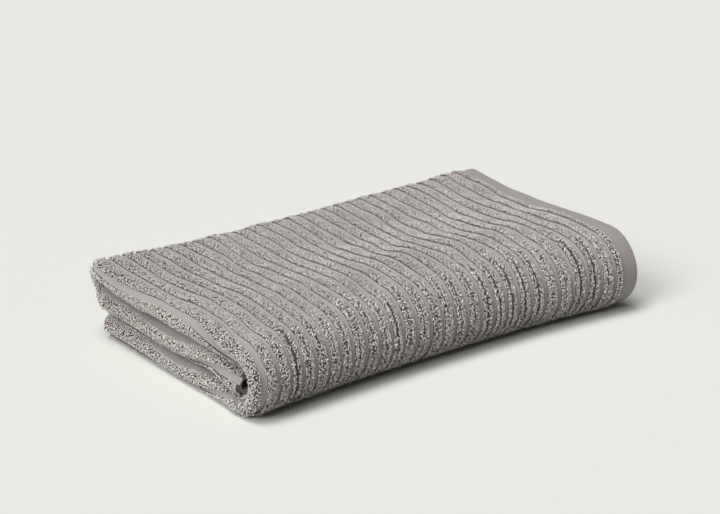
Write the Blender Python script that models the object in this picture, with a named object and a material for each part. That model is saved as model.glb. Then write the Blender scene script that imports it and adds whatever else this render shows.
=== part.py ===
# Folded bath towel: one sheet of ribbed terry cloth, folded in thirds along its length
# and then in thirds across its width. Metres, +Z up, origin under the middle of the pack.
# The pack is long along X and short along Y, with its tall round roll on the -Y side.
import bmesh
import bpy
import numpy as np

# Cloth
SHEET = 0.0066             # thickness over the ribs
LAYER_PITCH = 0.0080       # from one sheet of a panel to the next
HEM_WIDTH = 0.020
HEM_RECESS = 0.0012        # the hem lies this much lower than the ribs
HALF_RIB = 0.0055          # row of loops between the hem and the first flat strip
RIB_PITCH = 0.0157
FLAT_WIDTH = 0.0060        # flat strip between two ribs
RIB_HEIGHT = 0.0020
RIB_SLOPE = 0.0007         # width of a rib's side
FLAT_STRIPS = 29           # from the hem round to the hidden side of the left fold

# Pack
PACK_LENGTH = 0.467
PACK_WIDTH = 0.282
PACK_HEIGHT = 0.077
FLAP_LEVEL = 0.0262        # underside of the upper flap
FLAP_SAG = 0.0030          # how much lower the upper flap's left end hangs
FLAP_SAG_REACH = 0.090
LOWER_FLAP_BACK = 0.022    # the lower flap's free edge stops short of the far side
UPPER_FLAP_BACK = 0.034    # the upper flap's free edge stops short of the near side
INNER_FOLD_BACK = 0.014    # the hidden fold lies this far behind the hem
INNER_HEM_BACK = 0.006     # the hidden hem lies this far behind the left fold

# How the pack has settled: x and y of a swell's middle, its spread, and its rise
SWELL_COLUMNS = ("x", "y", "spread_x", "spread_y", "rise")
SWELLS = (
    (0.150, 0.075, 0.160, 0.055, 0.0060),
    (0.000, 0.090, 0.110, 0.042, 0.0040),
    (-0.120, 0.080, 0.100, 0.045, 0.0030),
    (0.020, 0.180, 0.150, 0.032, -0.0040),
    (-0.233, 0.150, 0.060, 0.200, -0.0050),
    (-0.233, 0.275, 0.060, 0.050, 0.0085),
    (0.233, 0.262, 0.110, 0.050, 0.0035),
    (-0.060, 0.260, 0.090, 0.050, -0.0020),
    (0.180, 0.250, 0.200, 0.060, -0.0020),
)
# The near side bows inward: most at one place, and outward at both ends
BOW_X = 0.060
BOW_IN = 0.006
BOW_OUT_LEFT = 0.008
BOW_OUT_RIGHT = 0.005
BOW_REACH = 0.150
# The pack's left end, at places counted in panels from the lower flap's free edge: how far it
# is drawn in, and how much fuller than even the three sheets are
LEFT_END_COLUMNS = ("place", "drawn_in", "fuller")
LEFT_END = (
    (0.00, 0.0040, 0.04),      # lower flap, far side
    (0.70, 0.0030, 0.04),
    (1.00, 0.0020, -0.25),     # bottom of the roll
    (1.25, 0.0020, -0.25),
    (1.50, 0.0020, 0.10),      # near side of the roll
    (2.00, 0.0020, 0.30),      # top of the roll
    (2.30, 0.0005, 0.18),
    (2.60, -0.0020, -0.04),
    (2.80, -0.0045, -0.12),
    (3.00, -0.0080, -0.30),    # far fold
    (3.30, -0.0010, -0.29),
    (3.60, 0.0070, -0.22),
    (4.00, 0.0010, 0.04),      # upper flap
    (5.00, 0.0020, 0.04),
)
LEFT_END_REACH = 0.150
FULL_REACH = 0.110
# The upper flap at its left end, by distance from the near side: how much its under and its
# upper face rise. Its free end drops into the roll, and the cloth arches up just behind it.
FLAP_COLUMNS = ("from_near", "under_rise", "upper_rise")
FLAP = (
    (0.040, -0.0050, -0.0055),
    (0.050, -0.0045, -0.0020),
    (0.062, -0.0010, 0.0000),
    (0.070, 0.0050, 0.0010),
    (0.088, 0.0056, 0.0025),
    (0.106, 0.0020, 0.0038),
    (0.130, 0.0012, 0.0055),
    (0.250, 0.0012, 0.0040),
)

# The ribs slant across the pack, and stray further to the left round some places
DRIFT_COLUMNS = ("x", "y", "spread_x", "spread_y", "amount")
RIB_DRIFTS = (
    (0.060, 0.120, 0.100, 0.032, 0.008),
    (-0.215, 0.120, 0.065, 0.070, -0.011),
    (0.215, 0.010, 0.060, 0.080, -0.010),
)
DRIFT_FADE = 0.080         # past the left fold, where the sheets are hidden
RIB_SLANT = 0.06
SLANT_MIDDLE = 0.180
SLANT_FROM = 0.040

# Mesh steps
FOLD_STEP = 0.0042         # longest step along the cloth where it turns at the left end
LEFT_STEP = 0.0155         # longest step on the hidden sheets near the left end
LEFT_PART = 0.124
PLAIN_STEP = 0.052         # longest step along the cloth where it lies straight
INNER_FOLD_STEPS = 6
STEPS_ACROSS = {"lower_flap": 3, "roll": 7, "top": 6, "far_fold": 4, "upper_flap": 5}

CLOTH_COLOUR = (0.376, 0.342, 0.318, 1.0)
CLOTH_ROUGHNESS = 0.95

PANEL = 2 * LAYER_PITCH + SHEET          # thickness of three sheets
RIGHT = PACK_LENGTH / 2
ROLL_RADIUS = PACK_HEIGHT / 2
LEFT_FOLD_RADIUS = PANEL / 2
INNER_FOLD_RADIUS = (PANEL - LAYER_PITCH) / 2
LEFT_FOLD_X = LEFT_FOLD_RADIUS - RIGHT

OUTER_SHEET = PACK_LENGTH - LEFT_FOLD_RADIUS
LEFT_FOLD = np.pi * (LEFT_FOLD_RADIUS - SHEET / 2)
INNER_SHEET = OUTER_SHEET - INNER_FOLD_BACK - INNER_FOLD_RADIUS
INNER_FOLD = np.pi * (INNER_FOLD_RADIUS - SHEET / 2)
MIDDLE_SHEET = INNER_SHEET - INNER_HEM_BACK

FAR_FOLD_RADIUS = (PACK_HEIGHT - FLAP_LEVEL) / 2
LOWER_FLAP = PACK_WIDTH - LOWER_FLAP_BACK - ROLL_RADIUS
ROLL = np.pi * (ROLL_RADIUS - PANEL / 2)
TOP = PACK_WIDTH - FAR_FOLD_RADIUS - ROLL_RADIUS
FAR_FOLD = np.pi * (FAR_FOLD_RADIUS - PANEL / 2)
UPPER_FLAP = PACK_WIDTH - FAR_FOLD_RADIUS - UPPER_FLAP_BACK
OVER_ENDS = np.cumsum((0, LOWER_FLAP, ROLL, TOP, FAR_FOLD, UPPER_FLAP))


def column(columns, table, name):
    """One column of a table, as a list."""
    return [row[columns.index(name)] for row in table]


def eased(amount):
    """0 to 1 with a level start and end."""
    amount = np.clip(amount, 0.0, 1.0)
    return amount * amount * (3 - 2 * amount)


def fold_lengthwise(along, depth):
    """X, and depth under the panel's outer face, of points at a distance along the cloth
    from the hem and at a depth in the sheet."""
    left_start = OUTER_SHEET
    inner_start = left_start + LEFT_FOLD
    turn_start = inner_start + INNER_SHEET
    middle_start = turn_start + INNER_FOLD
    left_turn = (along - left_start) / LEFT_FOLD * np.pi
    inner_turn = (along - turn_start) / INNER_FOLD * np.pi
    left_radius = LEFT_FOLD_RADIUS - depth
    inner_radius = INNER_FOLD_RADIUS - depth
    turn_x = LEFT_FOLD_X + INNER_SHEET
    stretch = (along < left_start, along < inner_start, along < turn_start, along < middle_start)
    x = np.select(
        stretch,
        (
            RIGHT - along,
            LEFT_FOLD_X - left_radius * np.sin(left_turn),
            LEFT_FOLD_X + along - inner_start,
            turn_x + inner_radius * np.sin(inner_turn),
        ),
        turn_x - (along - middle_start),
    )
    under = np.select(
        stretch,
        (
            depth,
            LEFT_FOLD_RADIUS - left_radius * np.cos(left_turn),
            PANEL - depth,
            PANEL - INNER_FOLD_RADIUS + inner_radius * np.cos(inner_turn),
        ),
        LAYER_PITCH + depth,
    )
    return x, under


def fold_across(over, under, x):
    """Y and Z of points at a distance across the cloth from the lower flap's free edge."""
    places = np.interp(over, OVER_ENDS, range(len(OVER_ENDS)))
    left_end = eased((FULL_REACH - RIGHT - x) / FULL_REACH)
    left_places = column(LEFT_END_COLUMNS, LEFT_END, "place")
    fuller = np.interp(places, left_places, column(LEFT_END_COLUMNS, LEFT_END, "fuller"))
    under = under * (1 + left_end * fuller)
    sag = FLAP_SAG * eased((FLAP_SAG_REACH - RIGHT - x) / FLAP_SAG_REACH)
    level = FLAP_LEVEL - sag
    far_radius = (PACK_HEIGHT - level) / 2
    far_y = PACK_WIDTH - far_radius
    roll_start = LOWER_FLAP
    top_start = roll_start + ROLL
    far_start = top_start + TOP
    flap_start = far_start + FAR_FOLD
    roll_turn = (over - roll_start) / ROLL * np.pi
    far_turn = (over - far_start) / FAR_FOLD * np.pi
    stretch = (over < roll_start, over < top_start, over < far_start, over < flap_start)
    y = np.select(
        stretch,
        (
            ROLL_RADIUS + LOWER_FLAP - over,
            ROLL_RADIUS - (ROLL_RADIUS - under) * np.sin(roll_turn),
            ROLL_RADIUS + (over - top_start) / TOP * (far_y - ROLL_RADIUS),
            far_y + (far_radius - under) * np.sin(far_turn),
        ),
        far_y - (over - flap_start),
    )
    z = np.select(
        stretch,
        (
            under,
            ROLL_RADIUS - (ROLL_RADIUS - under) * np.cos(roll_turn),
            PACK_HEIGHT - under,
            PACK_HEIGHT - far_radius + (far_radius - under) * np.cos(far_turn),
        ),
        level + under,
    )
    share = np.clip(under / PANEL, 0, 1)
    flap_places = column(FLAP_COLUMNS, FLAP, "from_near")
    under_rise = np.interp(y, flap_places, column(FLAP_COLUMNS, FLAP, "under_rise"))
    upper_rise = np.interp(y, flap_places, column(FLAP_COLUMNS, FLAP, "upper_rise"))
    flap_rise = under_rise * (1 - share) + upper_rise * share
    return y, z + (over >= flap_start) * left_end * flap_rise


def rib_drift(along, over):
    """How far the cloth has strayed to the left of an even layout, as its ribs show."""
    x = np.maximum(RIGHT - along, LEFT_FOLD_X)
    y = np.maximum(fold_across(over, np.zeros_like(x), x)[0], SLANT_FROM)
    drift = RIB_SLANT * (SLANT_MIDDLE - y)
    for row in RIB_DRIFTS:
        stray = dict(zip(DRIFT_COLUMNS, row))
        off_x = (x - stray["x"]) / stray["spread_x"]
        off_y = (y - stray["y"]) / stray["spread_y"]
        drift += stray["amount"] * np.exp(-off_x**2 - off_y**2)
    return drift * (1 - eased((along - OUTER_SHEET - LEFT_FOLD) / DRIFT_FADE))


def bow(x):
    """How far the near side is drawn in at x."""
    end_x = np.where(x < BOW_X, -RIGHT, RIGHT)
    end_in = np.where(x < BOW_X, -BOW_OUT_LEFT, -BOW_OUT_RIGHT)
    return BOW_IN + (end_in - BOW_IN) * ((x - BOW_X) / (end_x - BOW_X)) ** 2


def settle(x, y, z, over):
    """Moves points of the evenly folded pack to where the soft cloth has settled."""
    rise = np.zeros_like(z)
    for row in SWELLS:
        swell = dict(zip(SWELL_COLUMNS, row))
        off_x = (x - swell["x"]) / swell["spread_x"]
        off_y = (y - swell["y"]) / swell["spread_y"]
        rise += swell["rise"] * np.exp(-off_x**2 - off_y**2)
    places = np.interp(over, OVER_ENDS, range(len(OVER_ENDS)))
    left_end = eased((LEFT_END_REACH - RIGHT - x) / LEFT_END_REACH)
    left_places = column(LEFT_END_COLUMNS, LEFT_END, "place")
    drawn_in = np.interp(places, left_places, column(LEFT_END_COLUMNS, LEFT_END, "drawn_in"))
    settled_x = x + left_end * drawn_in
    settled_y = y + bow(x) * (1 - eased(y / BOW_REACH))
    return settled_x, settled_y, z * (1 + rise / PACK_HEIGHT)


def place(along, depth, over):
    """Points of the folded towel from its near side, one row for each station along and
    one column across."""
    along, depth = np.asarray(along)[:, None], np.asarray(depth)[:, None]
    along, depth, over = np.broadcast_arrays(along, depth, np.asarray(over)[None, :])
    x, under = fold_lengthwise(along + rib_drift(along, over), depth)
    y, z = fold_across(over, under, x)
    x, y, z = settle(x, y, z, over)
    return np.stack((x, y, z), axis=-1)


def divided(start, end, longest):
    """Stations after start up to end, in even steps."""
    count = max(1, int(np.ceil((end - start) / longest - 1e-9)))
    return [start + (end - start) * (i + 1) / count for i in range(count)]


def ribbed_stations():
    """Stations and depths along the outer face: the hem, then flat strips and ribs, then plain cloth."""
    profile = [(0.0, HEM_RECESS), (HEM_WIDTH - RIB_SLOPE, HEM_RECESS), (HEM_WIDTH, 0.0)]
    crest_end = HEM_WIDTH + HALF_RIB
    for strip in range(FLAT_STRIPS):
        flat_end = crest_end + FLAT_WIDTH
        profile += [
            (crest_end, 0.0),
            (crest_end + RIB_SLOPE, RIB_HEIGHT),
            (flat_end - RIB_SLOPE, RIB_HEIGHT),
            (flat_end, 0.0),
        ]
        crest_end += RIB_PITCH
    profile += [(along, 0.0) for along in folded_stations() if along > crest_end]
    fine = [profile[0]]
    for along, depth in profile[1:]:
        last_along, last_depth = fine[-1]
        turns = last_along > OUTER_SHEET - FOLD_STEP and along < OUTER_SHEET + LEFT_FOLD + FOLD_STEP
        longest = FOLD_STEP if turns else PLAIN_STEP
        for step in divided(last_along, along, longest):
            share = (step - last_along) / (along - last_along)
            fine.append((step, last_depth + (depth - last_depth) * share))
    return fine


def folded_stations():
    """Stations past the outer sheet, close together only where the cloth turns."""
    inner = (LEFT_PART, INNER_SHEET - LEFT_PART)
    middle = (MIDDLE_SHEET - LEFT_PART, LEFT_PART)
    ends = OUTER_SHEET + np.cumsum((0, LEFT_FOLD, *inner, INNER_FOLD, *middle))
    longest = (FOLD_STEP, LEFT_STEP, PLAIN_STEP, INNER_FOLD / INNER_FOLD_STEPS, PLAIN_STEP, LEFT_STEP)
    stations = []
    for start, end, step in zip(ends[:-1], ends[1:], longest):
        stations += divided(start, end, step)
    return stations


def inner_stations():
    """Stations along the inner face: one behind the middle of each rib, then the folded ones."""
    first = HEM_WIDTH + HALF_RIB + (FLAT_WIDTH + RIB_PITCH) / 2
    behind_ribs = np.arange(first, OUTER_SHEET, RIB_PITCH)
    return [0.0, HEM_WIDTH, *behind_ribs, OUTER_SHEET, *folded_stations()]


def stations_across():
    """Stations from the lower flap's free edge to the upper flap's."""
    lengths = (LOWER_FLAP, ROLL, TOP, FAR_FOLD, UPPER_FLAP)
    stations = [0.0]
    for length, steps in zip(lengths, STEPS_ACROSS.values()):
        start = stations[-1]
        stations += divided(start, start + length, length / steps)
    return stations


def grid_faces(corners, rows, columns, flip):
    """Four-sided faces between the rows and columns of points."""
    for i in range(rows - 1):
        for j in range(columns - 1):
            face = [corners[i][j], corners[i + 1][j], corners[i + 1][j + 1], corners[i][j + 1]]
            yield face[::-1] if flip else face


def edge_faces(outer_edge, outer_along, inner_edge, inner_along):
    """Triangles between two edges whose stations differ, each with the shorter way across."""
    i = j = 0
    while i < len(outer_edge) - 1 or j < len(inner_edge) - 1:
        outer_way = inner_way = np.inf
        if i < len(outer_edge) - 1:
            outer_way = abs(outer_along[i + 1] - inner_along[j])
        if j < len(inner_edge) - 1:
            inner_way = abs(inner_along[j + 1] - outer_along[i])
        if outer_way <= inner_way:
            yield [outer_edge[i], outer_edge[i + 1], inner_edge[j]]
            i += 1
        else:
            yield [outer_edge[i], inner_edge[j + 1], inner_edge[j]]
            j += 1


def make_towel(collection):
    """The closed sheet: a ribbed outer face, a plain inner face, and the edges between them."""
    outer = ribbed_stations()
    outer_along = [along for along, depth in outer]
    inner_along = inner_stations()
    across = stations_across()
    outer_points = place(outer_along, [depth for along, depth in outer], across)
    inner_depths = np.full(len(inner_along), SHEET)
    inner_points = place(inner_along, inner_depths, across)
    middle = (outer_points.min(axis=(0, 1)) + outer_points.max(axis=(0, 1))) / 2
    middle[2] = 0.0
    outer_points -= middle
    inner_points -= middle

    shape = bmesh.new()
    top = [[shape.verts.new(point) for point in row] for row in outer_points]
    low = [[shape.verts.new(point) for point in row] for row in inner_points]
    faces = list(grid_faces(top, len(top), len(across), False))
    faces += grid_faces(low, len(low), len(across), True)
    for row in (0, -1):
        faces += grid_faces([top[row], low[row]], 2, len(across), row == 0)
    for column in (0, -1):
        top_edge = [row[column] for row in top]
        low_edge = [row[column] for row in low]
        faces += edge_faces(top_edge, outer_along, low_edge, inner_along)
    for face in faces:
        shape.faces.new(face)
    bmesh.ops.recalc_face_normals(shape, faces=shape.faces)

    mesh = bpy.data.meshes.new("towel")
    shape.to_mesh(mesh)
    shape.free()
    mesh.materials.append(cloth_material())
    towel = bpy.data.objects.new("towel", mesh)
    collection.objects.link(towel)


def cloth_material():
    material = bpy.data.materials.new("taupe_terry")
    material.use_nodes = True
    shader = material.node_tree.nodes["Principled BSDF"]
    shader.inputs["Base Color"].default_value = CLOTH_COLOUR
    shader.inputs["Roughness"].default_value = CLOTH_ROUGHNESS
    shader.inputs["Metallic"].default_value = 0.0
    return material


def main():
    for old in list(bpy.data.objects):
        bpy.data.objects.remove(old)
    collection = bpy.data.collections.new("folded_bath_towel")
    bpy.context.scene.collection.children.link(collection)
    make_towel(collection)


main()
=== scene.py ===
import math
import bpy
import numpy as np
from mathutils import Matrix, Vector


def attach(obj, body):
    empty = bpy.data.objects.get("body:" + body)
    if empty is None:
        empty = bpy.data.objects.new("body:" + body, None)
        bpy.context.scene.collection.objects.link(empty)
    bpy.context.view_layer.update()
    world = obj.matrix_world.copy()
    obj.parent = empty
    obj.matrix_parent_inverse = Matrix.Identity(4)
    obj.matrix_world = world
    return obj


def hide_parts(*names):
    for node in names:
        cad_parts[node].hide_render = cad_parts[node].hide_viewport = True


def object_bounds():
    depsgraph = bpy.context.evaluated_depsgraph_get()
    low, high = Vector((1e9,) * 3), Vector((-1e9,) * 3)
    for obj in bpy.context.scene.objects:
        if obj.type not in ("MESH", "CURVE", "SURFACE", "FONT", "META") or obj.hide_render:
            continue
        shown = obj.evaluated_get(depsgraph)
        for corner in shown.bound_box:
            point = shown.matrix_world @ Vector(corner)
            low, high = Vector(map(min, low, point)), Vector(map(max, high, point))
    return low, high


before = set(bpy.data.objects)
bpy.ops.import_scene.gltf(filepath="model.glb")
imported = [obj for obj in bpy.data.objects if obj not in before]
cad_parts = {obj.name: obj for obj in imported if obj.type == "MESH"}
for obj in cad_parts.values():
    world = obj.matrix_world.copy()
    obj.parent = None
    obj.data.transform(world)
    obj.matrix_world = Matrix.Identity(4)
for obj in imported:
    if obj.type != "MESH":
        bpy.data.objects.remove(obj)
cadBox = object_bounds()
print("frame loaded")

# Sizes in metres. Along runs from the hem up the cloth, over runs from the lower flap's free
# edge round to the upper flap's, and depth goes down from the outer face of the ribs.
cloth = {
    "sheet": 0.0066,  # thickness over the ribs
    "layerPitch": 0.0080,  # from one sheet of a panel to the next
    "hemWidth": 0.020,
    "hemRecess": 0.0012,
    "halfRib": 0.0055,  # row of loops beside the hem
    "ribPitch": 0.0157,
    "flatWidth": 0.0060,
    "flatStrips": 29,
    "flatDepth": 0.0021,
    "grooveDepth": 0.0016,  # how much deeper the flat strips lie low on the roll
    "groundDepth": 0.0013,  # woven ground under the loops
    "ribSlope": 0.0009,
    "edgeRound": 0.0026,
    "edgeLeft": 0.30,  # share of the thickness left at a rounded edge
    # where the cloth lies low on the roll, in shares of the roll: how far it starts under the
    # pack, how far round it lies low, and over what stretch that ends
    "lowStart": 0.15,
    "lowHold": 0.15,
    "lowFade": 0.35,
    # steps of the mesh along the cloth, and across it from one flap to the other
    "hemStep": 0.004,
    "plainStep": 0.020,
    "foldStep": 0.0030,
    "innerStep": 0.010,
    "acrossSteps": (0.0060, 0.0024, 0.0040, 0.0026, 0.0060),
    "innerCoarser": 2.0,  # how much longer the steps across are on the hidden face
    "edgeShares": (0.0, 0.12, 0.4, 1.0),  # steps round an edge, as shares of edgeRound
    "crownShares": (0.25, 0.5, 0.75),  # steps over a rib, as shares of its width
}
pack = {
    "length": 0.467,
    "width": 0.282,
    "height": 0.077,
    "flapLevel": 0.0262,  # underside of the upper flap
    "flapSag": 0.0030,
    "flapSagReach": 0.090,
    "lowerFlapBack": 0.022,
    "upperFlapBack": 0.034,
    "innerFoldBack": 0.014,
    "innerHemBack": 0.006,
    "middle": (-0.000865, 0.138052, 0.0),  # middle of the pack, from its near side
}
settling = {
    # x, y, spread along x and y, rise
    "swells": (
        (0.150, 0.075, 0.160, 0.055, 0.0060),
        (0.000, 0.090, 0.110, 0.042, 0.0040),
        (-0.120, 0.080, 0.100, 0.045, 0.0030),
        (0.020, 0.180, 0.150, 0.032, -0.0040),
        (-0.233, 0.150, 0.060, 0.200, -0.0050),
        (-0.233, 0.275, 0.060, 0.050, 0.0085),
        (0.233, 0.262, 0.110, 0.050, 0.0035),
        (-0.060, 0.260, 0.090, 0.050, -0.0020),
        (0.180, 0.250, 0.200, 0.060, -0.0020),
    ),
    "bowX": 0.060,
    "bowIn": 0.006,
    "bowOutLeft": 0.008,
    "bowOutRight": 0.005,
    "bowReach": 0.150,
    # the left end, at places counted in panels from the lower flap's free edge: how far it is
    # drawn in, and how much fuller than even the three sheets are
    "leftEnd": (
        (0.00, 0.0040, 0.04),  # lower flap, far side
        (0.70, 0.0030, 0.04),
        (1.00, 0.0020, -0.25),  # bottom of the roll
        (1.25, 0.0020, -0.25),
        (1.50, 0.0020, 0.10),  # near side of the roll
        (2.00, 0.0020, 0.30),  # top of the roll
        (2.30, 0.0005, 0.18),
        (2.60, -0.0020, -0.04),
        (2.80, -0.0045, -0.12),
        (3.00, -0.0080, -0.30),  # far fold
        (3.30, -0.0010, -0.29),
        (3.60, 0.0070, -0.22),
        (4.00, 0.0010, 0.04),  # upper flap
        (5.00, 0.0020, 0.04),
    ),
    "leftEndReach": 0.150,
    "fullReach": 0.110,
    # the upper flap at its left end, by distance from the near side: rise of its under and upper
    # face. Its free end drops into the roll, and the cloth arches up just behind it. Its upper
    # face lies up to 2.5 mm lower than the solid's, which opens the dark slit above it.
    "flap": (
        (0.040, -0.0050, -0.0055),
        (0.050, -0.0045, -0.0020),
        (0.062, -0.0010, 0.0000),
        (0.070, 0.0050, 0.0010),
        (0.088, 0.0056, 0.0016),
        (0.106, 0.0020, 0.0018),
        (0.130, 0.0012, 0.0030),
        (0.250, 0.0012, 0.0020),
    ),
    # x, y, spread along x and y, and how far the ribs run to the left there
    "ribDrifts": (
        (0.060, 0.120, 0.100, 0.032, 0.008),
        (-0.215, 0.120, 0.065, 0.070, -0.011),
        (0.215, 0.010, 0.060, 0.080, -0.010),
    ),
    "driftFade": 0.080,  # past the left fold, where the sheets are hidden
    "ribSlant": 0.06,
    "slantMiddle": 0.180,
    "slantFrom": 0.040,
    "wander": 0.0009,  # how far the ribs stray from straight
    "wanderSize": 0.075,
    "wanderSeed": 3,
    "lumps": 0.0007,
    "lumpSize": 0.060,
    "lumpSeed": 4,
}

# Sizes that follow: radii of the folds, and lengths along the middle of the cloth
panel = 2 * cloth["layerPitch"] + cloth["sheet"]
ribWidth = cloth["ribPitch"] - cloth["flatWidth"]
right = pack["length"] / 2
rollRadius = pack["height"] / 2
leftRadius = panel / 2
innerRadius = (panel - cloth["layerPitch"]) / 2
leftX = leftRadius - right
outerSheet = pack["length"] - leftRadius
leftFold = math.pi * (leftRadius - cloth["sheet"] / 2)
innerSheet = outerSheet - pack["innerFoldBack"] - innerRadius
innerFold = math.pi * (innerRadius - cloth["sheet"] / 2)
middleSheet = innerSheet - pack["innerHemBack"]
farRadius = (pack["height"] - pack["flapLevel"]) / 2
lowerFlap = pack["width"] - pack["lowerFlapBack"] - rollRadius
roll = math.pi * (rollRadius - panel / 2)
top = pack["width"] - farRadius - rollRadius
farFold = math.pi * (farRadius - panel / 2)
upperFlap = pack["width"] - farRadius - pack["upperFlapBack"]
alongEnds = outerSheet + np.cumsum((0, leftFold, innerSheet, innerFold, middleSheet))
overEnds = np.cumsum((0, lowerFlap, roll, top, farFold, upperFlap))
flatSize = (alongEnds[-1], overEnds[-1])


def eased(amount):  # 0 to 1 with a level start and end
    amount = np.clip(amount, 0.0, 1.0)
    return amount * amount * (3 - 2 * amount)


def ripple(u, v, size, seed):  # smooth unevenness, mostly between -1 and 1, in lumps of this size
    draw = np.random.default_rng(seed)
    waves = 8
    slowest, fastest = 0.7, 1.4
    total = 0.0
    for _ in range(waves):
        turn, phase = draw.uniform(0, math.tau, 2)
        pace = math.tau * draw.uniform(slowest, fastest) / size
        total = total + np.sin(pace * (u * math.cos(turn) + v * math.sin(turn)) + phase)
    return total / math.sqrt(waves)


def foldLengthwise(along, depth):  # x, and depth under the panel's outer face
    leftEnd, turnStart, middleStart = alongEnds[1:4]
    leftTurn = (along - outerSheet) / leftFold * math.pi
    innerTurn = (along - turnStart) / innerFold * math.pi
    turnX = leftX + innerSheet
    stretch = (along < outerSheet, along < leftEnd, along < turnStart, along < middleStart)
    x = np.select(
        stretch,
        (
            right - along,
            leftX - (leftRadius - depth) * np.sin(leftTurn),
            leftX + along - leftEnd,
            turnX + (innerRadius - depth) * np.sin(innerTurn),
        ),
        turnX - (along - middleStart),
    )
    under = np.select(
        stretch,
        (
            depth,
            leftRadius - (leftRadius - depth) * np.cos(leftTurn),
            panel - depth,
            panel - innerRadius + (innerRadius - depth) * np.cos(innerTurn),
        ),
        cloth["layerPitch"] + depth,
    )
    return x, under


def foldAcross(over, under, x):  # y and z, round the near roll and the far fold
    places = np.interp(over, overEnds, range(len(overEnds)))
    leftPlaces, _, fuller = zip(*settling["leftEnd"])
    leftEnd = eased((settling["fullReach"] - right - x) / settling["fullReach"])
    under = under * (1 + leftEnd * np.interp(places, leftPlaces, fuller))
    sag = pack["flapSag"] * eased((pack["flapSagReach"] - right - x) / pack["flapSagReach"])
    level = pack["flapLevel"] - sag
    radius = (pack["height"] - level) / 2
    farY = pack["width"] - radius
    rollStart, topStart, farStart, flapStart = overEnds[1:5]
    rollTurn = (over - rollStart) / roll * math.pi
    farTurn = (over - farStart) / farFold * math.pi
    stretch = (over < rollStart, over < topStart, over < farStart, over < flapStart)
    y = np.select(
        stretch,
        (
            rollRadius + lowerFlap - over,
            rollRadius - (rollRadius - under) * np.sin(rollTurn),
            rollRadius + (over - topStart) / top * (farY - rollRadius),
            farY + (radius - under) * np.sin(farTurn),
        ),
        farY - (over - flapStart),
    )
    z = np.select(
        stretch,
        (
            under,
            rollRadius - (rollRadius - under) * np.cos(rollTurn),
            pack["height"] - under,
            pack["height"] - radius + (radius - under) * np.cos(farTurn),
        ),
        level + under,
    )
    fromNear, underRise, upperRise = zip(*settling["flap"])
    share = np.clip(under / panel, 0, 1)
    rise = np.interp(y, fromNear, underRise) * (1 - share) + np.interp(y, fromNear, upperRise) * share
    return y, z + (over >= flapStart) * leftEnd * rise


def ribDrift(along, over):  # how far the ribs have strayed to the left of an even layout
    x = np.maximum(right - along, leftX)
    y = np.maximum(foldAcross(over, 0.0 * over, x)[0], settling["slantFrom"])
    drift = settling["ribSlant"] * (settling["slantMiddle"] - y)
    for middleX, middleY, spreadX, spreadY, amount in settling["ribDrifts"]:
        drift = drift + amount * np.exp(-(((x - middleX) / spreadX) ** 2) - ((y - middleY) / spreadY) ** 2)
    return drift * (1 - eased((along - alongEnds[1]) / settling["driftFade"]))


def settle(x, y, z, over):  # from the evenly folded pack to the way the soft cloth lies
    rise = settling["lumps"] * ripple(x, y, settling["lumpSize"], settling["lumpSeed"])
    for middleX, middleY, spreadX, spreadY, height in settling["swells"]:
        rise = rise + height * np.exp(-(((x - middleX) / spreadX) ** 2) - ((y - middleY) / spreadY) ** 2)
    leftEnd = eased((settling["leftEndReach"] - right - x) / settling["leftEndReach"])
    places = np.interp(over, overEnds, range(len(overEnds)))
    leftPlaces, drawnIn, _ = zip(*settling["leftEnd"])
    settledX = x + leftEnd * np.interp(places, leftPlaces, drawnIn)
    endX = np.where(x < settling["bowX"], -right, right)
    endIn = -np.where(x < settling["bowX"], settling["bowOutLeft"], settling["bowOutRight"])
    share = ((x - settling["bowX"]) / (endX - settling["bowX"])) ** 2
    bow = settling["bowIn"] + (endIn - settling["bowIn"]) * share
    settledY = y + bow * (1 - eased(y / settling["bowReach"]))
    return settledX, settledY, z * (1 + rise / pack["height"])


def lay(along, depth, over):  # points of the folded towel, in the part's frame
    along, depth, over = np.broadcast_arrays(along, depth, over)
    held = eased(along / cloth["hemWidth"])
    stray = ripple(along, over, settling["wanderSize"], settling["wanderSeed"])
    along = along + held * settling["wander"] * stray
    x, under = foldLengthwise(along + ribDrift(along, over), depth)
    y, z = foldAcross(over, under, x)
    return np.stack(settle(x, y, z, over), axis=-1) - pack["middle"]


def linearColour(hexCode):  # sRGB hex to linear, by the sRGB curve
    parts = [int(hexCode[i:i + 2], 16) / 255 for i in (1, 3, 5)]
    return (*(c / 12.92 if c <= 0.04045 else ((c + 0.055) / 1.055) ** 2.4 for c in parts), 1.0)


def addNode(tree, kind, settings=None, inputs=None):  # inputs are values, or sockets to link
    node = tree.nodes.new("ShaderNode" + kind)
    for name, value in (settings or {}).items():
        setattr(node, name, value)
    for name, value in (inputs or {}).items():
        if isinstance(value, bpy.types.NodeSocket):
            tree.links.new(value, node.inputs[name])
        else:
            node.inputs[name].default_value = value
    return node


def startMaterial(name, roughness, sheen):  # cotton, which all of the cloth is
    material = bpy.data.materials.new(name)
    material.use_nodes = True
    shader = material.node_tree.nodes["Principled BSDF"]
    shader.inputs["Roughness"].default_value = roughness
    shader.inputs["IOR"].default_value = 1.45
    shader.inputs["Specular IOR Level"].default_value = 0.2
    shader.inputs["Sheen Weight"].default_value = sheen
    shader.inputs["Sheen Roughness"].default_value = 0.6
    return material, material.node_tree, shader


dye = {
    # loop tips pale, loop roots dark: the darkening towards the roots is painted shade
    "loopTip": "#D9D4D1",
    "loopRootShade": "#726C67",
    # near black: painted shade in the gaps between the loops, not the cotton's own colour
    "groundGapShade": "#332E2A",
    "flat": "#9E9898",
    "hem": "#958E8B",
    "pinkCast": "#B9ABA9",
    "greenCast": "#AFB0A8",
    "castSize": 0.045,  # metres between pinkish and greenish patches
    "castShare": 0.35,
    "threadGap": 0.0011,  # real threads lie 0.5 mm apart, drawn coarser so that they show
    "waveBand": math.tau / 20,  # the wave texture's bands lie this far apart at scale 1
    "yarnGap": 0.0006,  # twist of a loop's yarn
}


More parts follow.
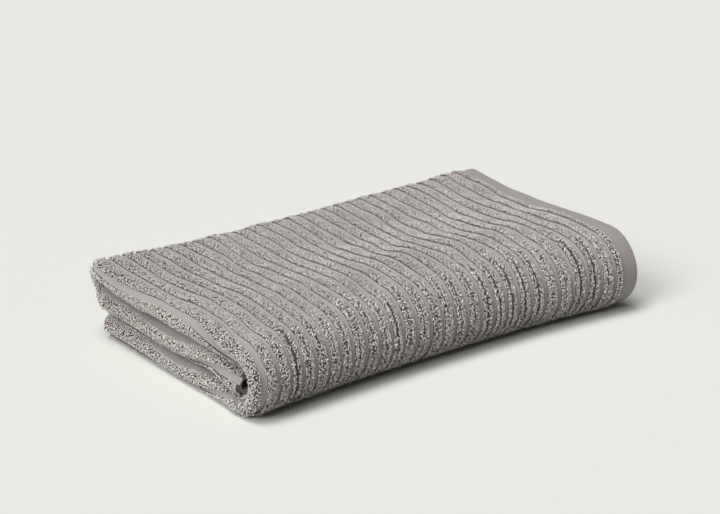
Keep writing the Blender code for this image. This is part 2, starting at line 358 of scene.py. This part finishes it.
def addCast(tree, colour):  # the dye's slight drift from pinkish to greenish grey
    places = addNode(tree, "TexCoord")
    patches = addNode(
        tree,
        "TexNoise",
        inputs={"Vector": places.outputs["Object"], "Scale": 1 / dye["castSize"], "Detail": 2.0},
    )
    cast = addNode(
        tree,
        "Mix",
        {"data_type": "RGBA"},
        {
            "Factor": patches.outputs["Fac"],
            "A": linearColour(dye["pinkCast"]),
            "B": linearColour(dye["greenCast"]),
        },
    )
    tint = addNode(
        tree,
        "Mix",
        {"data_type": "RGBA", "blend_type": "COLOR"},
        {"Factor": dye["castShare"], "A": colour, "B": cast.outputs["Result"]},
    )
    return places, tint.outputs["Result"]


def makeLoopMaterial():
    # Uncut cotton terry, piece dyed: matt. Each loop is painted darker from its pale tip down to its root,
    # as painted shade between the loops
    material, tree, shader = startMaterial("cottonTerryLoops", roughness=0.95, sheen=0.25)
    height = addNode(tree, "Attribute", {"attribute_name": "pileHeightShade"})
    tone = addNode(
        tree,
        "Mix",
        {"data_type": "RGBA"},
        {
            "Factor": height.outputs["Fac"],
            "A": linearColour(dye["loopRootShade"]),
            "B": linearColour(dye["loopTip"]),
        },
    )
    places, colour = addCast(tree, tone.outputs["Result"])
    # each loop's own tone: random, with painted light on the roll, tufts and noses, and painted shade in
    # the dips
    own = addNode(tree, "Attribute", {"attribute_name": "loopToneAndPaintedLight"})
    shade = addNode(tree, "HueSaturation", inputs={"Color": colour, "Value": own.outputs["Fac"]})
    yarn = addNode(
        tree,
        "TexNoise",
        inputs={"Vector": places.outputs["Object"], "Scale": 1 / dye["yarnGap"], "Detail": 1.0},
    )
    twist = addNode(
        tree,
        "Bump",
        inputs={"Height": yarn.outputs["Fac"], "Strength": 0.5, "Distance": 0.0002},
    )
    tree.links.new(shade.outputs["Color"], shader.inputs["Base Color"])
    tree.links.new(twist.outputs["Normal"], shader.inputs["Normal"])
    return material


def makeGroundShadeMaterial():
    # Woven cotton ground between the loops' roots, coloured near black as painted shade: it reads as the
    # dark gaps in the pile
    material, tree, shader = startMaterial("cottonTerryGroundShade", roughness=1.0, sheen=0.0)
    places = addNode(tree, "TexCoord")
    roots = addNode(
        tree,
        "TexNoise",
        inputs={"Vector": places.outputs["Object"], "Scale": 1 / cloth["ribSlope"], "Detail": 2.0},
    )
    tone = addNode(
        tree,
        "Mix",
        {"data_type": "RGBA"},
        {
            "Factor": roots.outputs["Fac"],
            "A": linearColour(dye["groundGapShade"]),
            "B": linearColour(dye["loopRootShade"]),
        },
    )
    tree.links.new(tone.outputs["Result"], shader.inputs["Base Color"])
    return material


def makeWovenMaterial(name, hexCode, slant):
    # Plain woven cotton: matt and smooth, with fine threads crossing each other
    material, tree, shader = startMaterial(name, roughness=0.9, sheen=0.15)
    places, colour = addCast(tree, linearColour(hexCode))
    bands = []
    for turn in (slant, slant + math.pi / 2):
        turned = addNode(
            tree,
            "Mapping",
            inputs={"Vector": places.outputs["UV"], "Rotation": (0.0, 0.0, turn)},
        )
        bands.append(
            addNode(
                tree,
                "TexWave",
                inputs={
                    "Vector": turned.outputs["Vector"],
                    "Scale": dye["waveBand"] / dye["threadGap"],
                    "Distortion": 1.5,
                    "Detail": 1.0,
                },
            )
        )
    weave = addNode(
        tree,
        "Math",
        {"operation": "MULTIPLY"},
        {0: bands[0].outputs["Fac"], 1: bands[1].outputs["Fac"]},
    )
    shade = addNode(
        tree,
        "MapRange",
        inputs={"Value": weave.outputs[0], "To Min": 0.86, "To Max": 1.08},
    )
    toned = addNode(tree, "HueSaturation", inputs={"Color": colour, "Value": shade.outputs["Result"]})
    threads = addNode(
        tree,
        "Bump",
        inputs={"Height": weave.outputs[0], "Strength": 0.6, "Distance": 0.0003},
    )
    tree.links.new(toned.outputs["Color"], shader.inputs["Base Color"])
    tree.links.new(threads.outputs["Normal"], shader.inputs["Normal"])
    return material


loopMaterial = makeLoopMaterial()
groundShadeMaterial = makeGroundShadeMaterial()
flatMaterial = makeWovenMaterial("flatWovenCotton", dye["flat"], slant=0.0)
hemMaterial = makeWovenMaterial("turnedHemCotton", dye["hem"], slant=math.pi / 4)
print("materials made")


# Kinds of cloth on the sheet's outer face, in the order of the sheet's materials
terryGround, flatStrip, hemBand = range(3)
tiny = 1e-9  # keeps roundings and divisions safe


def divided(start, end, longest):  # stations after start up to end, in even steps
    count = max(1, math.ceil((end - start) / longest - tiny))
    return [start + (end - start) * (i + 1) / count for i in range(count)]


def edgeStations():  # round the edge where the cloth starts
    return [cloth["edgeRound"] * share for share in cloth["edgeShares"]]


def endStations(size):  # and round the edge where it ends
    return [size - cloth["edgeRound"] * share for share in reversed(cloth["edgeShares"])]


def ribStart(index):  # where the rib after each flat strip begins, along the cloth
    return cloth["hemWidth"] + cloth["halfRib"] + cloth["flatWidth"] + index * cloth["ribPitch"]


def foldedStations():  # along, from the left fold to the hidden edge
    steps = (cloth["foldStep"], cloth["plainStep"], cloth["foldStep"], cloth["plainStep"])
    stations = []
    for start, end, step in zip(alongEnds[:-1], alongEnds[1:], steps):
        stations += divided(start, end, step)
    return stations[:-1] + endStations(flatSize[0])


def outerStations():  # a row for each station along the outer face: along, depth and kind
    slope = cloth["ribSlope"]
    low = cloth["groundDepth"]
    hemAlong = edgeStations()
    hemAlong += divided(cloth["edgeRound"], cloth["hemWidth"] - slope, cloth["hemStep"])
    rows = [(along, cloth["hemRecess"], hemBand) for along in hemAlong]
    rows += [(cloth["hemWidth"] + cloth["halfRib"] * share, low, terryGround) for share in (0, 0.5)]
    for strip in range(cloth["flatStrips"]):
        flatEnd = ribStart(strip)
        flatStart = flatEnd - cloth["flatWidth"]
        rows += [
            (flatStart, low, terryGround),
            (flatStart + slope, cloth["flatDepth"], flatStrip),
            ((flatStart + flatEnd) / 2, cloth["flatDepth"], flatStrip),
            (flatEnd - slope, cloth["flatDepth"], flatStrip),
            (flatEnd, low, terryGround),
        ]
        rows += [(flatEnd + ribWidth * share, low, terryGround) for share in cloth["crownShares"]]
    hiddenFrom = rows[-1][0] + slope  # the hidden lengths are plain
    rows += [(along, 0.0, flatStrip) for along in foldedStations() if along > hiddenFrom]
    return rows


def acrossStations(coarser=1.0):
    stations = edgeStations()
    for end, step in zip(overEnds[1:], cloth["acrossSteps"]):
        stations += divided(stations[-1], end, step * coarser)
    return stations[:-1] + endStations(flatSize[1])


def roundedDepth(along, depth, over):  # the sheet thins to a rounded edge all round
    nearest = np.minimum(np.minimum(along, flatSize[0] - along), np.minimum(over, flatSize[1] - over))
    short = 1 - np.clip(nearest / cloth["edgeRound"], 0, 1)
    left = cloth["edgeLeft"] + (1 - cloth["edgeLeft"]) * np.sqrt(1 - short**2)
    middle = cloth["sheet"] / 2
    return middle + (depth - middle) * left


def gridFaces(corners):  # four-sided faces between the rows and columns of points
    return np.stack(
        (corners[:-1, :-1], corners[1:, :-1], corners[1:, 1:], corners[:-1, 1:]), axis=-1
    ).reshape(-1, 4)


def edgeFaces(outer, outerAt, inner, innerAt):  # triangles between two edges whose stations differ
    i = j = 0
    while i < len(outer) - 1 or j < len(inner) - 1:
        outerWay = abs(outerAt[i + 1] - innerAt[j]) if i < len(outer) - 1 else math.inf
        innerWay = abs(innerAt[j + 1] - outerAt[i]) if j < len(inner) - 1 else math.inf
        if outerWay <= innerWay:
            yield (outer[i], outer[i + 1], inner[j])
            i += 1
        else:
            yield (outer[i], inner[j + 1], inner[j])
            j += 1


def lowOnRoll(over):  # 1 at the bottom of the roll, 0 from halfway up
    share = (over - overEnds[1]) / roll
    started = eased((share + cloth["lowStart"]) / cloth["lowStart"])
    return started * (1 - eased((share - cloth["lowHold"]) / cloth["lowFade"]))


def addPiece(name, mesh):
    mesh.validate()
    mesh.update()
    piece = bpy.data.objects.new(name, mesh)
    bpy.context.scene.collection.objects.link(piece)
    mesh.calc_loop_triangles()
    print(name, len(mesh.loop_triangles), "triangles")
    return piece


def gridPoints(along, depth, over):  # points of the folded sheet, and where they lie when flat
    along, over = np.meshgrid(along, over, indexing="ij")
    depth = roundedDepth(along, depth, over)
    return lay(along, depth, over).reshape(-1, 3), np.stack((along, over), axis=-1).reshape(-1, 2)


def makeSheet():  # the closed woven sheet, folded
    outerAlong, outerDepth, kinds = (np.array(values) for values in zip(*outerStations()))
    outerOver = np.array(acrossStations())
    innerAlong = edgeStations() + divided(cloth["edgeRound"], outerSheet, cloth["innerStep"])
    innerAlong = np.array(innerAlong + foldedStations())
    innerOver = np.array(acrossStations(cloth["innerCoarser"]))

    grooved = (kinds == flatStrip) & (outerAlong < alongEnds[1])
    outerDepth = outerDepth[:, None] + cloth["grooveDepth"] * grooved[:, None] * lowOnRoll(outerOver)
    outerPoints, outerLay = gridPoints(outerAlong, outerDepth, outerOver)
    innerPoints, innerLay = gridPoints(innerAlong, cloth["sheet"], innerOver)
    outer = np.arange(len(outerPoints)).reshape(len(outerAlong), len(outerOver))
    inner = np.arange(len(innerPoints)).reshape(len(innerAlong), len(innerOver)) + len(outerPoints)
    shown = gridFaces(outer).tolist()
    looks = np.repeat(np.maximum(kinds[:-1], kinds[1:]), len(outerOver) - 1)
    looks[np.repeat(outerAlong[1:] <= cloth["hemWidth"], len(outerOver) - 1)] = hemBand
    # the inner face and the four edges are plain
    plain = gridFaces(inner)[:, ::-1].tolist()
    plain += edgeFaces(outer[:, 0], outerAlong, inner[:, 0], innerAlong)
    plain += [face[::-1] for face in edgeFaces(outer[:, -1], outerAlong, inner[:, -1], innerAlong)]
    plain += [face[::-1] for face in edgeFaces(outer[0], outerOver, inner[0], innerOver)]
    plain += edgeFaces(outer[-1], outerOver, inner[-1], innerOver)
    looks = looks.tolist() + [flatStrip] * len(plain)

    mesh = bpy.data.meshes.new("towelSheet")
    mesh.from_pydata(np.concatenate((outerPoints, innerPoints)), [], shown + plain)
    laid = np.concatenate((outerLay, innerLay))  # the flat cloth, for the weave
    corners = np.empty(len(mesh.loops), dtype=np.int32)
    mesh.loops.foreach_get("vertex_index", corners)
    mesh.uv_layers.new(name="clothLay").data.foreach_set("uv", laid[corners].ravel())
    for material in (groundShadeMaterial, flatMaterial, hemMaterial):
        mesh.materials.append(material)
    mesh.polygons.foreach_set("material_index", looks)
    mesh.shade_smooth()
    return addPiece("towelSheet", mesh)


# Loops of the terry. Real ones stand about 0.8 mm apart, drawn coarser so that they show.
pile = {
    "pieces": 6,
    "seed": 11,
    "rowGap": 0.00126,
    "stepGap": 0.00120,
    "fewestRows": 3,  # on a rib
    "traced": 500,  # points that measure a row's length
    "width": 0.0016,
    "height": 0.0021,
    "yarn": 0.00044,  # half a yarn's thickness
    "yarnSides": 3,
    # across and up a loop, as shares of half its width and of its height
    "arch": ((-1.0, 0.0), (-0.60, 0.92), (0.60, 0.92), (1.0, 0.0)),
    "rootDepth": 0.0014,
    "reach": 0.96,  # how far over its rib the pile reaches
    "edgeClear": 0.002,  # the flaps' free edges are bare this far in
    "clearOfFloor": 0.0003,
    "flattest": 0.2,  # least share of its height that a loop keeps on the floor
    # unevenness, in shares of a gap, of a size, and of a loop's height
    "spread": 0.35,
    "sizeDrift": 0.22,
    "lean": 0.22,
    "edgeLean": 0.45,  # further outward beside the flat strips
    "missing": 0.12,  # share of all loops
    "tones": (0.78, 1.28),
    # loops cling together in tufts, with dips between them
    "clumpSize": 0.0038,
    "clumpSeed": 12,
    "clumpMost": 1.5,
    "clumpRise": 0.22,
    # tufts painted paler and dips darker: painted light and shade
    "clumpLightAndShade": 0.06,
    "clumpGap": -0.75,  # how deep a dip is before loops go missing there
    "dipMissing": 0.68,
    # the roll spreads its loops: the ribs part along their middle, and shade each other more. Its loops
    # also vary more in tone at random, and are paler on average, a painted highlight
    "rollStart": 0.02,  # over this length from the bottom of the roll
    "parted": 0.88,  # share of the middle loops that are missing
    "middleRows": 0.2,  # how far from the rib's middle, in shares of half its width
    "partedPast": 0.01,  # how far past the top of the roll
    "dipsOnRoll": 0.35,  # share of the dips between tufts that the roll does without
    "rollTonesAndHighlight": (-0.25, 0.55),
    "rollTonesPast": 0.03,
    "fullerLow": 0.55,  # how much higher the loops stand low on the roll
    "widerLow": 0.22,  # and how much further they spread over the flat strips
    "lowReach": 0.012,  # how far the roll's loops run on under the pack
    # distances from the left end
    "leftNose": 0.024,  # where the flaps carry loops
    "calmReach": 0.050,  # where the roll's loops lie closer and more alike
    "noseReach": 0.030,  # where the folds' noses are painted paler, a painted light, and more alike in tone
    "nosePaintedLight": 0.10,
    "noseCalm": 0.5,
}


def surface(along, over):  # base point, outward normal and the two directions in the cloth
    step = 0.0002
    base = lay(along, pile["rootDepth"], over)
    normal = lay(along, pile["rootDepth"] - step, over) - base
    normal /= np.linalg.norm(normal, axis=-1, keepdims=True)
    way = lay(along + step, pile["rootDepth"], over) - lay(along - step, pile["rootDepth"], over)
    way -= normal * np.sum(way * normal, axis=-1, keepdims=True)
    way /= np.linalg.norm(way, axis=-1, keepdims=True)
    return base, normal, way, np.cross(normal, way)


def rowPlaces(draw, along, overStart, overEnd):  # even steps on the surface along one row
    fine = np.linspace(overStart, overEnd, pile["traced"])
    points = lay(along, 0.0, fine)
    reach = np.concatenate(([0], np.cumsum(np.linalg.norm(np.diff(points, axis=0), axis=1))))
    at = np.arange(draw.uniform(0, 1) * pile["stepGap"], reach[-1], pile["stepGap"])
    at += draw.uniform(-1, 1, len(at)) * pile["spread"] * pile["stepGap"]
    return np.interp(at, reach, fine)


def rollShare(over, past):  # 1 on the roll, 0 this far past its top
    started = eased((over - overEnds[1]) / pile["rollStart"])
    return started * eased((overEnds[2] + past - over) / (past + pile["rollStart"]))


def clumps(along, over):  # tufts above 0, dips below
    return ripple(along, over, pile["clumpSize"], pile["clumpSeed"])


def ribLoops(draw, start, width, overStart, overEnd):  # loops of one rib: along, over and side
    middle = start + width / 2
    ends = lay(np.array((start, start + width)), 0.0, (overStart + overEnd) / 2)
    rows = round(float(np.linalg.norm(ends[1] - ends[0])) / pile["rowGap"])
    rows = max(pile["fewestRows"], rows)
    alongs, overs, sides = [], [], []
    for row in range(rows):
        side = (row + 0.5) / rows * 2 - 1
        over = rowPlaces(draw, middle + side * width / 2, overStart, overEnd)
        onRoll = rollShare(over, pile["partedPast"])
        onRoll = onRoll * eased((outerSheet - start) / pile["calmReach"])
        gone = pile["missing"] + (abs(side) < pile["middleRows"]) * pile["parted"] * onRoll
        dips = clumps(middle + side * width / 2, over) < pile["clumpGap"]
        gone = np.maximum(gone, dips * pile["dipMissing"] * (1 - pile["dipsOnRoll"] * onRoll))
        over = over[draw.uniform(0, 1, len(over)) > gone]
        stray = draw.uniform(-1, 1, len(over)) * pile["spread"] * width / rows
        reach = pile["reach"] + pile["widerLow"] * lowOnRoll(over)
        alongs.append(middle + side * width / 2 * reach + stray)
        overs.append(over)
        sides.append(np.full(len(over), side))
    return np.concatenate(alongs), np.concatenate(overs), np.concatenate(sides)


def yarnPoints(path, yarn, aside):  # a tube round the path of each loop, closed at both ends
    sides = pile["yarnSides"]
    points = [path[0]]
    for before, here, after in zip(path[:-2], path[1:-1], path[2:]):
        run = after - before
        run /= np.linalg.norm(run, axis=1, keepdims=True)
        outward = np.cross(run, aside)
        for corner in range(sides):
            turn = math.pi / 2 + corner * math.tau / sides
            points.append(here + yarn * (aside * math.cos(turn) - outward * math.sin(turn)))
    return points + [path[-1]]


def yarnFaces():  # triangles of one such tube
    sides = pile["yarnSides"]
    rings = [range(i * sides + 1, (i + 1) * sides + 1) for i in range(len(pile["arch"]) - 2)]
    around = [(k, (k + 1) % sides) for k in range(sides)]
    faces = [(0, rings[0][n], rings[0][k]) for k, n in around]
    for low, high in zip(rings[:-1], rings[1:]):
        for k, n in around:
            faces += [(low[k], low[n], high[n]), (low[k], high[n], high[k])]
    return faces + [(rings[-1][-1] + 1, rings[-1][k], rings[-1][n]) for k, n in around]


def makeLoops(name, draw, along, over, side):  # one mesh of loops that stand at these places
    base, normal, way, cross = surface(along, over)
    fromLeft = base[:, 0] - cadBox[0][0]
    onTop = (over > overEnds[1] - pile["lowReach"]) & (over < overEnds[4])
    keep = (base[:, 2] > 2 * pile["clearOfFloor"]) & (onTop | (fromLeft < pile["leftNose"]))
    count = len(along)
    clump = np.clip(clumps(along, over), -pile["clumpMost"], pile["clumpMost"])
    size = draw.uniform(1 - pile["sizeDrift"], 1 + pile["sizeDrift"], (count, 3))
    size[:, 1] *= (1 + pile["clumpRise"] * clump) * (1 + pile["fullerLow"] * lowOnRoll(over))
    yaw = draw.uniform(0, math.pi, count)
    lean = draw.normal(0, pile["lean"], (count, 2))
    lean[:, 0] += side * np.abs(side) * pile["edgeLean"]
    onRoll = rollShare(over, pile["rollTonesPast"]) * eased(fromLeft / pile["calmReach"])
    # on the roll the loops' tones spread wider at random and rise on average: a painted highlight
    tone = draw.uniform(*pile["tones"], count) * (1 + onRoll * draw.uniform(*pile["rollTonesAndHighlight"], count))
    # tufts painted paler and the dips between them darker: painted light and shade
    tone *= 1 + pile["clumpLightAndShade"] * clump
    # the noses are painted paler: painted light on the folds that face the left lamp
    onNose = 1 - eased(fromLeft / pile["noseReach"])
    tone = 1 + onNose * pile["nosePaintedLight"] + (tone - 1) * (1 - pile["noseCalm"] * onNose)

    base, normal, way, cross = (values[keep] for values in (base, normal, way, cross))
    size, yaw, lean, tone = (values[keep] for values in (size, yaw, lean, tone))
    up = normal + way * lean[:, :1] + cross * lean[:, 1:]
    up /= np.linalg.norm(up, axis=1, keepdims=True)
    ahead = way * np.cos(yaw)[:, None] + cross * np.sin(yaw)[:, None]
    halfWidth = size[:, :1] * pile["width"] / 2
    height = size[:, 1:2] * pile["height"]
    yarn = size[:, 2:] * pile["yarn"]
    room = (base[:, 2:] - pile["clearOfFloor"]) / np.maximum(-up[:, 2:] * (height + yarn), tiny)
    height = height * np.clip(room, pile["flattest"], 1.0)  # pressed flat by the floor
    path = [base + ahead * halfWidth * across + up * height * rise for across, rise in pile["arch"]]
    points = yarnPoints(path, yarn, np.cross(up, ahead))

    kept = len(base)
    perLoop = len(points)
    faces = np.array(yarnFaces()) + np.arange(kept)[:, None, None] * perLoop
    mesh = bpy.data.meshes.new(name)
    mesh.from_pydata(np.stack(points, axis=1).reshape(-1, 3), [], faces.reshape(-1, 3).tolist())
    # each loop's height share, which paints it darker towards its root as painted shade
    rises = [0.0] + np.repeat([rise for _, rise in pile["arch"][1:-1]], pile["yarnSides"]).tolist() + [0.0]
    mesh.attributes.new("pileHeightShade", "FLOAT", "POINT").data.foreach_set("value", np.tile(rises, kept))
    # each loop's tone: random, with painted light on the roll, tufts and noses, and painted shade in the
    # dips
    mesh.attributes.new("loopToneAndPaintedLight", "FLOAT", "POINT").data.foreach_set("value", np.repeat(tone, perLoop))
    mesh.materials.append(loopMaterial)
    mesh.shade_smooth()
    return addPiece(name, mesh)


def makePile():  # the loops, a few ribs to a piece
    draw = np.random.default_rng(pile["seed"])
    ribs = [(cloth["hemWidth"], cloth["halfRib"])]
    ribs += [(ribStart(strip), ribWidth) for strip in range(cloth["flatStrips"])]
    lowFlapEnd = overEnds[1] - pile["lowReach"]
    firstRibs = [index * len(ribs) // pile["pieces"] for index in range(pile["pieces"] + 1)]
    pieces = []
    for first, last in zip(firstRibs[:-1], firstRibs[1:]):
        loops = []
        for start, width in ribs[first:last]:
            loops.append(ribLoops(draw, start, width, lowFlapEnd, overEnds[4]))
            if start + width > outerSheet - pile["leftNose"]:  # on both flaps too
                loops.append(ribLoops(draw, start, width, pile["edgeClear"], lowFlapEnd))
                loops.append(ribLoops(draw, start, width, overEnds[4], flatSize[1] - pile["edgeClear"]))
        along, over, side = (np.concatenate(values) for values in zip(*loops))
        pieces.append(makeLoops("terryLoops" + str(len(pieces) + 1), draw, along, over, side))
    return pieces


towelSheet = makeSheet()
loopPieces = makePile()
for piece in (towelSheet, *loopPieces):
    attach(piece, "root")
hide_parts("towel")

studio = {
    "floorSize": 14.0,
    "floorColour": "#D2D3CE",
    "worldColour": "#F2F3EE",
    "worldStrength": 0.12,
    "lampColour": "#FFFFFE",
    # name, where it shines from, degrees across as the towel sees it, strength
    "lamps": (
        ("overheadSoftbox", (-0.50, 0.12, 2.1), 28.0, 2.24),
        ("leftSoftbox", (-1.9, -0.40, 1.60), 34.0, 2.32),
    ),
}
shot = {
    "azimuth": -37.0,  # degrees round from the near side, towards the left end
    "elevation": 20.9,
    "distance": 2.70,
    "aim": (0.0488, 0.0730, 0.035),
    "lens": 132.55,
    "sensor": 36.0,
}


def makeStudio():
    bpy.ops.mesh.primitive_plane_add(size=studio["floorSize"], location=(0, 0, 0))
    floor = bpy.context.object
    floor.name = "studioFloor"
    material = bpy.data.materials.new("mattPaintedFloor")
    material.use_nodes = True
    shader = material.node_tree.nodes["Principled BSDF"]
    shader.inputs["Base Color"].default_value = linearColour(studio["floorColour"])
    shader.inputs["Roughness"].default_value = 0.9
    shader.inputs["Specular IOR Level"].default_value = 0.1
    floor.data.materials.append(material)
    world = bpy.data.worlds.new("softStudio")
    world.use_nodes = True
    background = world.node_tree.nodes["Background"]
    background.inputs["Color"].default_value = linearColour(studio["worldColour"])
    background.inputs["Strength"].default_value = studio["worldStrength"]
    bpy.context.scene.world = world
    for name, place, spread, strength in studio["lamps"]:
        light = bpy.data.lights.new(name, "SUN")
        light.angle = math.radians(spread)
        light.energy = strength
        light.color = linearColour(studio["lampColour"])[:3]
        lamp = bpy.data.objects.new(name, light)
        lamp.location = place
        lamp.rotation_euler = (-Vector(place)).to_track_quat("-Z", "Y").to_euler()
        bpy.context.scene.collection.objects.link(lamp)


def makeCamera():
    camera = bpy.data.objects.new("camera", bpy.data.cameras.new("camera"))
    azimuth = math.radians(shot["azimuth"])
    elevation = math.radians(shot["elevation"])
    back = Vector((
        math.sin(azimuth) * math.cos(elevation),
        -math.cos(azimuth) * math.cos(elevation),
        math.sin(elevation),
    ))
    camera.location = Vector(shot["aim"]) + back * shot["distance"]
    camera.rotation_euler = (-back).to_track_quat("-Z", "Y").to_euler()
    camera.data.lens = shot["lens"]
    camera.data.sensor_width = shot["sensor"]
    bpy.context.scene.collection.objects.link(camera)
    bpy.context.scene.camera = camera


makeStudio()
makeCamera()
bpy.context.scene.view_settings.view_transform = "Standard"
print("studio and camera set")
